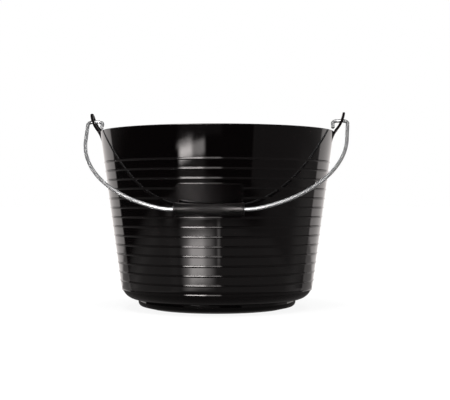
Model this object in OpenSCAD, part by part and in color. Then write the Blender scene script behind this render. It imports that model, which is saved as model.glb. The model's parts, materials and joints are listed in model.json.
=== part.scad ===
// Feed bucket: a round moulded bucket with a wire bail that swings in two ears,
// and a waisted grip that turns on the wire. Stands on z = 0, front towards -Y.

/* [Bucket wall] */
// Outside diameter at the rim
rim_d = 332; // [300:1:380]
// Height of the rim above the floor
bucket_h = 250; // [225:1:300]
// Lean of the wall outwards from upright, in degrees
draft = 7.8; // [5:0.1:10]
// Thickness of the wall
wall = 2.8; // [2:0.1:3.6]
// Bevel on both edges of the rim
rim_bevel = 0.6; // [0.2:0.1:0.9]
// Outside radius of the heel that rounds the foot of the wall
heel_r = 23; // [16:0.5:28]

/* [Base] */
// Height of the stepped base below the heel
base_h = 13; // [10:0.5:18]
// How far the base stands in from the lowest line of the heel
base_setback = 1.5; // [0.5:0.1:6]
// Outside radius of the base's lower edge
base_edge_r = 6.5; // [5:0.1:8]
// Rise of the dished rim of the base from the foot to the edge
base_rise = 2.5; // [1:0.1:3]
// Width of that dished rim
base_rise_w = 10.5; // [6:0.5:16]
// Width of the flat ring that the bucket stands on
foot_w = 11; // [6:0.5:20]
// Depth of the hollow inside that ring
foot_hollow = 2; // [1:0.1:2.5]

/* [Rings round the wall] */
// Number of rings
ring_count = 15; // [8:1:20]
// Height of the lowest ring above the floor
ring_low_z = 27.5; // [24:0.5:36]
// Drop from the rim to the highest ring
ring_drop = 44; // [36:0.5:60]
// Radius of a ring's round back
ring_r = 1.3; // [1:0.1:1.6]
// How far a ring stands proud of the wall
ring_proud = 0.8; // [0.4:0.1:1]

/* [Label plate] */
// Width of the bare plate on the front
plate_w = 87.5; // [60:0.5:110]
// Height of the plate
plate_h = 37; // [26:0.5:46]
// Drop from the rim to the top of the plate
plate_drop = 76; // [60:1:90]
// Radius of the plate's corners
plate_corner_r = 3.5; // [2:0.1:8]
// How far the plate stands proud of the wall
plate_proud = 1; // [0.9:0.1:1.3]
// How far its raised border stands proud of the wall
border_proud = 1.6; // [1.4:0.1:2]
// Width of the raised border
border_w = 1.4; // [1:0.1:1.9]

/* [Ears] */
// Thickness of an ear
ear_t = 3.6; // [3:0.1:4]
// Drop from the rim to the line where an ear leaves the wall
ear_root_drop = 19; // [16:0.5:24]
// Radius of both bends in an ear's side view
ear_bend_r = 46; // [42:1:52]
// Steepest outward lean of an ear, in degrees
ear_lean = 38; // [34:0.5:40]
// Height of the bail's pivot line above the rim
pivot_rise = 15.4; // [14:0.1:17]
// Radius of the hole in an ear
ear_hole_r = 4; // [3.6:0.1:4.6]
// Radius of an ear's round top about its hole
ear_top_r = 11; // [9:0.1:12]
// Angle at which an ear widens below its round top, in degrees
ear_flare = 20; // [12:1:26]

/* [Bail] */
// Diameter of the wire
wire_d = 5; // [4:0.1:5.4]
// Distance from the pivot line to the middle of the grip
bail_reach = 203; // [194:1:230]
// Radius of the bend beside the grip
shoulder_r = 65; // [30:1:90]
// Angle turned by that bend, in degrees
shoulder_turn = 20.5; // [14:0.5:26]
// Inward lean of the bail's legs, in degrees
leg_lean = 4; // [2:0.5:6]
// Radius of the wire's bends at the hooks, at the middle of the wire
hook_r = 6.5; // [5.5:0.1:7.5]
// Width of a hook from leg to tip, at the middle of the wire
hook_w = 21; // [19:0.5:24]
// Straight length at the tip of a hook
hook_tip = 10; // [6:0.5:12]

/* [Grip] */
// Length of the grip
grip_l = 91; // [80:1:110]
// Diameter of the grip at its waist
grip_waist_d = 14; // [12:0.1:15]
// Diameter where the waist meets the end collars
grip_end_d = 17; // [15.5:0.1:18]
// Diameter of the end collars
collar_d = 18.4; // [18.2:0.1:20]
// Width of an end collar
collar_w = 3; // [2:0.1:4]
// Rounding of the collar's edges
collar_edge_r = 0.7; // [0.3:0.1:0.9]

/* [Fits] */
// Gap under the wire in the ear's hole
hole_gap = 0.3; // [0.2:0.05:0.5]
// Gap between the bail's leg and the tip of an ear when it swings past
leg_gap = 0.35; // [0.3:0.05:1]
// Radial gap between the wire and the bore of the grip
bore_gap = 0.3; // [0.2:0.05:0.5]
// Gap between the grip's ends and the bends beside it
end_gap = 0.3; // [0.2:0.1:1]
// Gap left between the grip and the wall where it comes to rest
rest_gap = 0.3; // [0.2:0.05:0.5]

/* [Hidden] */
$fn = 96;
// Facets of the shallow arc in the grip's side
fine_fn = 720;
// How far a cutting shape runs past what it cuts
past = 1;
// How deep an added shape is rooted in the wall
root = 0.8;
// Steps of an arc that is drawn as points
arc_steps = 8;
// Sides of the wire, and its steps along the shoulder, the bow and a hook's bend
wire_sides = 16;
shoulder_steps = 4;
bow_steps = 14;
hook_steps = 9;

// The wall's outside line: its radius at height z, and its normal
slope = tan(draft);
foot_line_r = rim_d / 2 - bucket_h * slope;
function wall_r(z) = foot_line_r + z * slope;
function wall_in_r(z) = wall_r(z) - wall / cos(draft);

// The heel is one circle, tangent to the wall and to the step above the base
heel_z = base_h + heel_r;
heel_top_z = heel_z - heel_r * sin(draft);
heel_x = wall_r(heel_top_z) - heel_r * cos(draft);
base_r = heel_x - base_setback;
base_edge_x = base_r - base_edge_r;
foot_r = base_edge_x - base_rise_w;

// Slope of the outside surface's normal at height z, on the wall or on the heel
function normal_a(z) = z > heel_top_z ? -draft : asin((z - heel_z) / heel_r);
function skin_r(z) = z > heel_top_z ? wall_r(z) : heel_x + heel_r * cos(normal_a(z));

ring_top_z = bucket_h - ring_drop;
ring_pitch = (ring_top_z - ring_low_z) / (ring_count - 1);

plate_top_z = bucket_h - plate_drop;
plate_mid_z = plate_top_z - plate_h / 2;

// An ear's middle line in side view: out along one bend, back along the other
pivot_z = bucket_h + pivot_rise;
ear_root_z = bucket_h - ear_root_drop;
ear_start_r = wall_r(ear_root_z) - ear_t / 2 * cos(draft);
ear_start_z = ear_root_z + ear_t / 2 * sin(draft);
ear_out_x = ear_start_r + ear_bend_r * cos(draft);
ear_out_z = ear_start_z - ear_bend_r * sin(draft);
ear_turn_r = ear_out_x - ear_bend_r * cos(ear_lean);
ear_turn_z = ear_out_z + ear_bend_r * sin(ear_lean);
ear_back_x = ear_turn_r - ear_bend_r * cos(ear_lean);
ear_back_z = ear_turn_z + ear_bend_r * sin(ear_lean);
ear_hole_z = pivot_z + ear_hole_r - wire_d / 2 - hole_gap;
ear_top_z = ear_hole_z + ear_top_r;
ear_end_z = ear_top_z + past;
function back_a(z) = asin((z - ear_back_z) / ear_bend_r);
function ear_r(z) = ear_back_x + ear_bend_r * cos(back_a(z));
// Half width of an ear's face where it leaves the wall, and the turn that spans it
ear_side_y = ear_top_r * cos(ear_flare);
ear_side_z = ear_hole_z + ear_top_r * sin(ear_flare);
ear_low_z = ear_root_z - past;
ear_low_y = ear_side_y + (ear_side_z - ear_low_z) * tan(ear_flare);
ear_half_turn = asin((ear_low_y + past) / (ear_start_r - ear_t));

// The bail, drawn flat: x across, and reach s from the pivot line to the grip
wire_r = wire_d / 2;
leg_turn = 90 - leg_lean;
hook_start_s = hook_r * (1 + sin(leg_lean));
ear_tip_s = ear_top_z - pivot_z;
leg_x = ear_r(ear_top_z) + ear_t / 2 + leg_gap + wire_r
    + (ear_tip_s - hook_start_s) * tan(leg_lean);
hook_out_x = leg_x - hook_r * sin(leg_turn);
hook_in_x = leg_x - hook_w + hook_r;
grip_half = grip_l / 2 + end_gap;
shoulder_x = grip_half + shoulder_r * sin(shoulder_turn);
shoulder_s = bail_reach - shoulder_r * (1 - cos(shoulder_turn));
// Radius of the bow that brings the leg out to leg_x at the start of the hook
bow_r = (leg_x - shoulder_x - (shoulder_s - hook_start_s) * tan(leg_lean))
    / (sin(leg_turn) - sin(shoulder_turn)
       - (cos(shoulder_turn) - cos(leg_turn)) * tan(leg_lean));

bow_step = (leg_turn - shoulder_turn) / bow_steps;

// Stations [x, y, heading] along a bend that turns from heading a to heading b
function bend(x, y, r, a, b, steps) = [
    for (i = [0 : steps])
        let (h = a + (b - a) * i / steps)
        [x + r * sin(h), y - r * cos(h), h]
];
// The right side of the bail: shoulder, bow, the hook's two bends, and its tip
bail_side = concat(
    bend(grip_half, shoulder_r - bail_reach, shoulder_r, 0, shoulder_turn,
         shoulder_steps),
    bend(shoulder_x - bow_r * sin(shoulder_turn),
         bow_r * cos(shoulder_turn) - shoulder_s, bow_r,
         shoulder_turn + bow_step, leg_turn, bow_steps - 1),
    bend(hook_out_x, -hook_r, hook_r, leg_turn, 180, hook_steps),
    bend(hook_in_x, -hook_r, hook_r, 180, 270, hook_steps),
    [[hook_in_x - hook_r, -hook_r - hook_tip, 270]]
);

// How far the bail hangs below level when its grip rests on the front, and on the back
waist_r = grip_waist_d / 2;
function rest_a(proud) = draft + acos(
    (wall_r(pivot_z) + (proud + waist_r + rest_gap) / cos(draft)) * cos(draft)
    / bail_reach);
front_a = rest_a(border_proud);
back_rest_a = rest_a(ring_proud);
swing = 180 + front_a + back_rest_a;

bore_r = wire_r + bore_gap;
collar_r = collar_d / 2;
hollow_half = grip_l / 2 - collar_w;
hollow_d = grip_end_d / 2 - waist_r;
hollow_r = (hollow_half * hollow_half + hollow_d * hollow_d) / (2 * hollow_d);

echo(pivot_z = pivot_z, ear_at_pivot = ear_r(pivot_z), ear_tip = ear_r(ear_top_z));
echo(ear_top_z = ear_top_z, leg_x = leg_x, bow_r = bow_r);
echo(front_a = front_a, back_rest_a = back_rest_a, swing = swing);
echo(grip_y = -bail_reach * cos(front_a), grip_z = pivot_z - bail_reach * sin(front_a));
echo(base_r = base_r, foot_r = foot_r, ring_pitch = ring_pitch);

// Points along an arc, from angle a to angle b
function arc_points(x, y, r, a, b) = [
    for (i = [0 : arc_steps])
        let (t = a + (b - a) * i / arc_steps)
        [x + r * cos(t), y + r * sin(t)]
];

module rounded_rect(w, h, r) {
    square([w - 2 * r, h], center = true);
    square([w, h - 2 * r], center = true);
    for (sx = [-1, 1], sy = [-1, 1])
        translate([sx * (w / 2 - r), sy * (h / 2 - r)])
            circle(r);
}

// Half section of the solid that the outside of the bucket encloses, drawn in by inset
module wall_half(inset, top_z, top_r) {
    low_z = base_h + inset;
    round_r = heel_r - inset;
    bend_z = heel_z - round_r * sin(draft);
    bend_r = heel_x + round_r * cos(draft);
    edge_z = bucket_h - rim_bevel;
    edge_r = wall_r(edge_z) - inset / cos(draft);
    polygon([
        [0, low_z], [heel_x, low_z], [heel_x, heel_z], [bend_r, bend_z],
        [edge_r, edge_z], [top_r, bucket_h], [top_r, top_z], [0, top_z]
    ]);
    translate([heel_x, heel_z])
        circle(round_r);
}

module base_half(inset) {
    low_z = base_rise + inset;
    edge_z = base_rise + base_edge_r;
    polygon([
        [0, low_z], [base_edge_x, low_z], [base_edge_x, edge_z],
        [base_r - inset, edge_z], [base_r - inset, heel_z], [0, heel_z]
    ]);
    translate([base_edge_x, edge_z])
        circle(base_edge_r - inset);
}

module foot_half() {
    polygon([
        [0, foot_hollow], [foot_r - foot_w - foot_hollow, foot_hollow],
        [foot_r - foot_w, 0], [foot_r, 0],
        [base_edge_x, base_rise], [base_edge_x, base_rise + wall],
        [0, base_rise + wall]
    ]);
}

module rings_half() {
    for (i = [0 : ring_count - 1]) {
        z = ring_low_z + i * ring_pitch;
        a = normal_a(z);
        sunk = ring_proud - ring_r;
        translate([skin_r(z) + sunk * cos(a), z + sunk * sin(a)])
            circle(ring_r);
    }
}

// A band of the wall, thickened outwards to stand proud, cut to an outline on the front
module front_band(proud) {
    out = proud / cos(draft);
    low_z = plate_mid_z - plate_h;
    high_z = plate_mid_z + plate_h;
    intersection() {
        rotate_extrude()
            polygon([
                [wall_r(low_z) - root, low_z], [wall_r(low_z) + out, low_z],
                [wall_r(high_z) + out, high_z], [wall_r(high_z) - root, high_z]
            ]);
        translate([0, 0, plate_mid_z])
            rotate([90, 0, 0])
                linear_extrude(rim_d)
                    children();
    }
}

module label_plate() {
    front_band(plate_proud)
        rounded_rect(plate_w, plate_h, plate_corner_r);
    front_band(border_proud)
        difference() {
            rounded_rect(plate_w, plate_h, plate_corner_r);
            rounded_rect(plate_w - 2 * border_w, plate_h - 2 * border_w,
                         plate_corner_r - border_w);
        }
}

// Side view of an ear: a strip of even thickness along its two bends
module ear_side() {
    end_a = back_a(ear_end_z);
    near_r = ear_bend_r - ear_t / 2;
    far_r = ear_bend_r + ear_t / 2;
    polygon(concat(
        arc_points(ear_out_x, ear_out_z, near_r, 180 - draft, 180 - ear_lean),
        arc_points(ear_back_x, ear_back_z, far_r, -ear_lean, end_a),
        arc_points(ear_back_x, ear_back_z, near_r, end_a, -ear_lean),
        arc_points(ear_out_x, ear_out_z, far_r, 180 - ear_lean, 180 - draft)
    ));
}

// Face view of an ear: a round top about the hole, widening down to its root
module ear_face() {
    translate([0, ear_hole_z])
        circle(ear_top_r);
    polygon([
        [-ear_low_y, ear_low_z], [ear_low_y, ear_low_z],
        [ear_side_y, ear_side_z], [-ear_side_y, ear_side_z]
    ]);
}

module ear() {
    difference() {
        intersection() {
            rotate([0, 0, -ear_half_turn])
                rotate_extrude(angle = 2 * ear_half_turn)
                    ear_side();
            rotate([90, 0, 90])
                linear_extrude(rim_d)
                    ear_face();
        }
        translate([0, 0, ear_hole_z])
            rotate([0, 90, 0])
                cylinder(h = rim_d, r = ear_hole_r);
    }
}

module bucket() {
    edge_in_r = wall_in_r(bucket_h) + rim_bevel;
    color("#141312")
        difference() {
            union() {
                rotate_extrude() {
                    wall_half(0, bucket_h, wall_r(bucket_h) - rim_bevel);
                    base_half(0);
                    foot_half();
                    rings_half();
                }
                label_plate();
                for (side = [0, 180])
                    rotate([0, 0, side])
                        ear();
            }
            rotate_extrude() {
                wall_half(wall, bucket_h + past, edge_in_r);
                base_half(wall);
            }
            translate([0, 0, -past])
                cylinder(h = past, r = foot_r);
        }
}

// A round tube swept along stations [x, y, heading] that lie in one plane
module wire(stations) {
    last = len(stations) - 1;
    polyhedron(
        points = [
            for (p = stations, j = [0 : wire_sides - 1])
                let (t = 360 * j / wire_sides, out = wire_r * cos(t))
                [p[0] - out * sin(p[2]), p[1] + out * cos(p[2]), wire_r * sin(t)]
        ],
        faces = concat(
            [[for (j = [0 : wire_sides - 1]) j]],
            [for (i = [0 : last - 1], j = [0 : wire_sides - 1])
                let (k = (j + 1) % wire_sides, low = i * wire_sides, high = low + wire_sides)
                [low + j, high + k, low + k]],
            [for (i = [0 : last - 1], j = [0 : wire_sides - 1])
                let (k = (j + 1) % wire_sides, low = i * wire_sides, high = low + wire_sides)
                [low + j, high + j, high + k]],
            [[for (j = [wire_sides - 1 : -1 : 0]) last * wire_sides + j]]
        ),
        convexity = 6
    );
}

// Puts what is drawn flat, at -s along Y, into the bail's place at rest
module hung() {
    translate([0, 0, pivot_z])
        rotate([front_a, 0, 0])
            children();
}

module bail() {
    color("#a3a5a6")
        hung()
            wire(concat(
                [for (i = [len(bail_side) - 1 : -1 : 0])
                    let (p = bail_side[i])
                    [-p[0], p[1], -p[2]]],
                bail_side
            ));
}

module grip_half_section() {
    difference() {
        translate([bore_r, -grip_l / 2])
            square([grip_end_d / 2 - bore_r, grip_l]);
        translate([waist_r + hollow_r, 0])
            circle(hollow_r, $fn = fine_fn);
    }
    for (end = [-1, 1])
        translate([(bore_r + collar_r) / 2, end * (grip_l - collar_w) / 2])
            rounded_rect(collar_r - bore_r, collar_w, collar_edge_r);
}

module grip() {
    color("#2b2b2d")
        hung()
            translate([0, -bail_reach, 0])
                rotate([0, 90, 0])
                    rotate_extrude()
                        grip_half_section();
}

bucket();
bail();
grip();
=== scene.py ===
"""Feed bucket: a round, ribbed black plastic bucket, its wire bail and the bail's grip.

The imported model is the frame: +Z is up, the front faces -Y and the bucket stands on z = 0.
Every length in the settings is in metres.
"""
import json
from functools import partial
from math import asin, atan2, ceil, cos, pi, radians, sin, sqrt, tan

import bmesh
import bpy
from bpy.props import FloatProperty, FloatVectorProperty, IntProperty, PointerProperty
from mathutils import Matrix, Vector


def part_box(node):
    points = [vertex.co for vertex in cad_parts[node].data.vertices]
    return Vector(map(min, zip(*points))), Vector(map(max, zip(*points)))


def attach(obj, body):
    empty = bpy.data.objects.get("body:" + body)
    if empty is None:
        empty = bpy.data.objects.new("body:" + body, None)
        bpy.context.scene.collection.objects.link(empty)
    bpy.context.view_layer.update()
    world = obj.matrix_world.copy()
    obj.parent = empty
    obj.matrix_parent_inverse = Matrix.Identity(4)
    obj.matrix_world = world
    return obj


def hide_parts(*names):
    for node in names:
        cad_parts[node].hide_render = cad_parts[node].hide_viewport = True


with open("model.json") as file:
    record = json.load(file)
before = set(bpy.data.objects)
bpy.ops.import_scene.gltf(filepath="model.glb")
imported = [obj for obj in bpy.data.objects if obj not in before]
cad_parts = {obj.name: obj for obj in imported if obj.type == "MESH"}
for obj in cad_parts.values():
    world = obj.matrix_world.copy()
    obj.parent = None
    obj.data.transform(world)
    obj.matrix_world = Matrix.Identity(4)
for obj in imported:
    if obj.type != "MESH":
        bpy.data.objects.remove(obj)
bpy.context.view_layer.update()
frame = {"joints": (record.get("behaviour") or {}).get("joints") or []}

bl_info = {
    "name": "Feed bucket",
    "version": (1, 0, 0),
    "blender": (4, 5, 0),
    "location": "3D View > Sidebar > Feed bucket",
    "description": "Makes the moulded bucket, its wire bail and grip, and a studio to show them",
    "category": "Add Mesh",
}

JOINTS = {joint["name"]: joint for joint in frame["joints"]}
PIVOT = Vector(JOINTS["bail_swing"]["pos_m"])
GRIP_PLACE = Vector(JOINTS["grip_spin"]["pos_m"])
# The bail at rest, as a reach from its pivot line and a tilt below level
BAIL_REACH = (GRIP_PLACE - PIVOT).length
BAIL_TILT = asin((PIVOT.z - GRIP_PLACE.z) / BAIL_REACH)
BAIL_HALF_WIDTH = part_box("bail")[1].x
EAR_TOP_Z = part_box("bucket")[1].z
GRIP_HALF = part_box("grip")[1].x

MM = 0.001
QUARTER = pi / 2
FULL = 2 * pi

# Colours, as sRGB hex values
POLYPROPYLENE_BLACK = "#0a0607"
ZINC_GREY = "#a6a7a8"
ZINC_DULL = "#969798"
GRIP_CHARCOAL = "#0e0d0d"
STUDIO_WHITE = "#ffffff"
STUDIO_WARM = "#fff9f7"
FLOOR_GREY = "#cccccc"


def linear(hex_colour):
    """Turn an sRGB hex colour to the linear red, green and blue that nodes take."""
    def channel(text):
        value = int(text, 16) / 255
        return value / 12.92 if value <= 0.04045 else ((value + 0.055) / 1.055) ** 2.4
    return [channel(hex_colour[i:i + 2]) for i in (1, 3, 5)]


def length(label, description, millimetres):
    """A length that a user can change: written in millimetres and kept in metres."""
    return FloatProperty(name=label, description=description, default=millimetres * MM,
                         min=0.0, precision=4, subtype="DISTANCE", unit="LENGTH")


def angle(label, description, degrees):
    """An angle that a user can change: written in degrees and kept in radians."""
    return FloatProperty(name=label, description=description, default=radians(degrees),
                         subtype="ANGLE", unit="ROTATION")


def colour(label, description, hex_colour):
    """A colour that a user can change."""
    return FloatVectorProperty(name=label, description=description, size=3, min=0.0, max=1.0,
                               default=linear(hex_colour), subtype="COLOR")


class FeedBucketShellSettings(bpy.types.PropertyGroup):
    """Sizes of the moulded shell: wall, heel, base and rings"""
    rim_d: length("Rim diameter", "Outside diameter at the rim", 332)
    height: length("Height", "Height of the rim above the floor", 250)
    draft: angle("Draft", "Lean of the wall outwards from upright", 7.8)
    wall: length("Wall", "Thickness of the wall", 2.8)
    rim_round: length("Rim rounding", "Rounding of both edges of the rim", 0.7)
    heel_r: length("Heel radius", "Outside radius that rounds the foot of the wall", 23)
    base_h: length("Base height", "Height of the stepped base below the heel", 13)
    base_setback: length("Base setback", "How far the base stands in from the heel", 1.5)
    base_edge_r: length("Base edge", "Outside radius of the base's lower edge", 6.5)
    base_rise: length("Base rise", "Rise of the dished rim of the base", 2.5)
    base_rise_w: length("Base rim width", "Width of that dished rim", 10.5)
    foot_w: length("Foot width", "Width of the flat ring that it stands on", 11)
    foot_hollow: length("Foot hollow", "Depth of the hollow inside that ring", 2)
    ring_count: IntProperty(name="Rings", description="Number of rings round the wall",
                            default=15, min=1)
    ring_low_z: length("Lowest ring", "Height of the lowest ring", 27.5)
    ring_drop: length("Ring drop", "Drop from the rim to the highest ring", 44)
    ring_r: length("Ring radius", "Radius of a ring's round back", 1.3)
    ring_proud: length("Ring proud", "How far a ring stands proud of the wall", 0.8)
    ring_fillet: length("Ring fillet", "Fillet between a ring and the wall", 0.4)
    segments: IntProperty(name="Segments", description="Facets round the bucket",
                          default=168, min=16)


class FeedBucketPlateSettings(bpy.types.PropertyGroup):
    """Sizes of the bare label plate on the front"""
    width: length("Width", "Width of the plate", 87.5)
    height: length("Height", "Height of the plate", 37)
    drop: length("Drop", "Drop from the rim to the top of the plate", 76)
    corner_r: length("Corner radius", "Radius of the plate's corners", 3.5)
    proud: length("Proud", "How far the plate stands proud of the wall", 1)
    border_proud: length("Border proud", "How far its border stands proud", 1.6)
    border_w: length("Border width", "Width of the raised border", 1.4)
    edge_round: length("Edge rounding", "Rounding of the border's edges", 0.35)
    sunk: length("Sunk", "How deep the plate is rooted in the wall", 0.8)


class FeedBucketEarSettings(bpy.types.PropertyGroup):
    """Sizes of the two ears that carry the bail"""
    thickness: length("Thickness", "Thickness of an ear", 3.6)
    root_drop: length("Root drop", "Drop from the rim to where an ear leaves the wall", 19)
    bend_r: length("Bend radius", "Radius of both bends in an ear's side view", 46)
    lean: angle("Lean", "Steepest outward lean of an ear", 38)
    top_r: length("Top radius", "Radius of an ear's round top about its hole", 11)
    hole_r: length("Hole radius", "Radius of the hole for the wire", 4)
    flare: angle("Flare", "Angle at which an ear widens below its top", 20)
    edge_round: length("Edge rounding", "Rounding of an ear's outer edges", 0.9)
    hole_round: length("Hole rounding", "Rounding of the hole's edges", 0.4)


class FeedBucketBailSettings(bpy.types.PropertyGroup):
    """Sizes of the bent wire"""
    wire_d: length("Wire diameter", "Diameter of the wire", 5)
    shoulder_r: length("Shoulder radius", "Radius of the bend beside the grip", 65)
    shoulder_turn: angle("Shoulder turn", "Angle turned by that bend", 20.5)
    leg_lean: angle("Leg lean", "Inward lean of the legs", 4)
    hook_r: length("Hook radius", "Radius of a hook's bends", 6.5)
    hook_w: length("Hook width", "Width of a hook from leg to tip", 21)
    hook_tip: length("Hook tip", "Straight length at the tip of a hook", 10)
    tip_round: length("Tip rounding", "Rounding of the cut ends", 0.7)
    sides: IntProperty(name="Sides", description="Facets round the wire", default=28, min=8)


class FeedBucketGripSettings(bpy.types.PropertyGroup):
    """Sizes of the waisted grip"""
    waist_d: length("Waist diameter", "Diameter at the middle", 14)
    end_d: length("End diameter", "Diameter where the waist meets the collars", 17)
    collar_d: length("Collar diameter", "Diameter of the end collars", 18.4)
    collar_w: length("Collar width", "Width of an end collar", 3)
    edge_round: length("Edge rounding", "Rounding of the collars' edges", 0.8)
    bore_gap: length("Bore gap", "Gap between the wire and the bore", 0.3)
    end_gap: length("End gap", "Gap between the grip and the bends beside it", 0.3)
    segments: IntProperty(name="Segments", description="Facets round the grip",
                          default=96, min=16)


class FeedBucketFinishSettings(bpy.types.PropertyGroup):
    """Colours of the three materials"""
    shell: colour("Shell", "Pigment of the bucket", POLYPROPYLENE_BLACK)
    zinc: colour("Zinc", "Bright zinc on the wire", ZINC_GREY)
    zinc_dull: colour("Dulled zinc", "Zinc that has dulled", ZINC_DULL)
    grip: colour("Grip", "Pigment of the grip", GRIP_CHARCOAL)


class FeedBucketStudioSettings(bpy.types.PropertyGroup):
    """Camera and light"""
    camera_azimuth: angle("Camera azimuth", "Turn of the camera to the right of the front", 3.75)
    camera_distance: length("Camera distance", "Distance from the bucket's axis", 1500)
    camera_height: length("Camera height", "Height above the floor", 146)
    focal_length: FloatProperty(name="Focal length", description="On a 36 mm wide sensor",
                                default=83.85, min=1.0, unit="CAMERA")
    shift_x: FloatProperty(name="Shift X", description="Sideways shift of the frame",
                           default=0.0178)
    shift_y: FloatProperty(name="Shift Y", description="Upward shift of the frame",
                           default=0.0111)
    ambient: FloatProperty(name="Ambient", description="Strength of the even light",
                           default=0.06, min=0.0)
    key_power: FloatProperty(name="Key power", description="Power of the key lamp",
                             default=50.0, min=0.0, unit="POWER")
    fill_power: FloatProperty(name="Fill power", description="Power of the fill lamp",
                              default=30.0, min=0.0, unit="POWER")
    wire_power: FloatProperty(name="Wire lamp", description="Power of the lamp for the wire",
                              default=105.0, min=0.0, unit="POWER")


class FeedBucketSettings(bpy.types.PropertyGroup):
    """All the settings of the feed bucket"""
    shell: PointerProperty(type=FeedBucketShellSettings)
    plate: PointerProperty(type=FeedBucketPlateSettings)
    ears: PointerProperty(type=FeedBucketEarSettings)
    bail: PointerProperty(type=FeedBucketBailSettings)
    grip: PointerProperty(type=FeedBucketGripSettings)
    finish: PointerProperty(type=FeedBucketFinishSettings)
    studio: PointerProperty(type=FeedBucketStudioSettings)


# --- Nodes -----------------------------------------------------------------------------

def add_node(tree, kind, inputs=None, **settings):
    """Add a node, set its settings, and fill or link its inputs by name or number.

    An input that is given a node takes that node's first output.
    """
    node = tree.nodes.new(kind)
    for name, value in settings.items():
        setattr(node, name, value)
    for key, value in (inputs or {}).items():
        if isinstance(value, bpy.types.Node):
            value = value.outputs[0]
        if isinstance(value, bpy.types.NodeSocket):
            tree.links.new(value, node.inputs[key])
        else:
            node.inputs[key].default_value = value
    return node


def new_tree(name, sizes):
    """Start a Geometry Nodes tree that takes a mesh, the named sizes and a material."""
    tree = bpy.data.node_groups.new(name, "GeometryNodeTree")
    tree.interface.new_socket("Geometry", in_out="OUTPUT", socket_type="NodeSocketGeometry")
    for label, kind in {"Geometry": "Geometry", **sizes, "Material": "Material"}.items():
        tree.interface.new_socket(label, in_out="INPUT", socket_type="NodeSocket" + kind)
    return tree, partial(add_node, tree), tree.nodes.new("NodeGroupInput").outputs


def end_tree(tree, geometry, material):
    """End a tree: shade its mesh smooth, realize it, set its material and put it out."""
    smooth = add_node(tree, "GeometryNodeSetShadeSmooth", {"Geometry": geometry})
    real = add_node(tree, "GeometryNodeRealizeInstances", {"Geometry": smooth})
    painted = add_node(tree, "GeometryNodeSetMaterial", {"Geometry": real, "Material": material})
    add_node(tree, "NodeGroupOutput", {0: painted})
    return tree


def lathe_tree():
    """Turn a half section, drawn as a chain of points (radius, 0, height), about Z."""
    tree, add, given = new_tree("Lathe", {"Segments": "Int", "Weld Distance": "Float"})
    rows = add("GeometryNodeAttributeDomainSize", {0: given["Geometry"]})
    columns = add("ShaderNodeMath", {0: given["Segments"], 1: 1.0}, operation="ADD")
    grid = add("GeometryNodeMeshGrid",
               {"Vertices X": rows.outputs["Point Count"], "Vertices Y": columns})
    index = add("GeometryNodeInputIndex")
    row = add("FunctionNodeIntegerMath", {0: index, 1: columns}, operation="DIVIDE_FLOOR")
    column = add("FunctionNodeIntegerMath", {0: index, 1: columns}, operation="MODULO")
    place = add("GeometryNodeInputPosition")
    section = add("GeometryNodeSampleIndex",
                  {"Geometry": given["Geometry"], "Index": row, "Value": place},
                  data_type="FLOAT_VECTOR")
    around = add("ShaderNodeMath", {0: column, 1: given["Segments"]}, operation="DIVIDE")
    turn = add("ShaderNodeMath", {0: around, 1: FULL}, operation="MULTIPLY")
    turned = add("ShaderNodeVectorRotate", {"Vector": section, "Angle": turn},
                 rotation_type="Z_AXIS")
    placed = add("GeometryNodeSetPosition", {"Geometry": grid, "Position": turned})
    welded = add("GeometryNodeMergeByDistance",
                 {"Geometry": placed, "Distance": given["Weld Distance"]})
    return end_tree(tree, welded, given["Material"])


# The sums that give the sweep its scale, as (result, first value, operation, second value).
# The tip's section is a quarter circle: drop = 1 - sqrt(1 - (1 - share)^2)
TIP_SUMS = (
    ("radius", "diameter", "MULTIPLY", "half"),
    ("left", "whole", "SUBTRACT", "run"),
    ("nearer end", "left", "MINIMUM", "run"),
    ("roundings", "nearer end", "DIVIDE", "rounding"),
    ("share", "roundings", "MINIMUM", "one"),
    ("short", "one", "SUBTRACT", "share"),
    ("square", "short", "MULTIPLY", "short"),
    ("rest", "one", "SUBTRACT", "square"),
    ("root", "rest", "SQRT", "one"),
    ("drop", "one", "SUBTRACT", "root"),
    ("lost", "drop", "MULTIPLY", "rounding"),
    ("kept", "radius", "SUBTRACT", "lost"),
    ("scale", "kept", "DIVIDE", "radius"),
)


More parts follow.
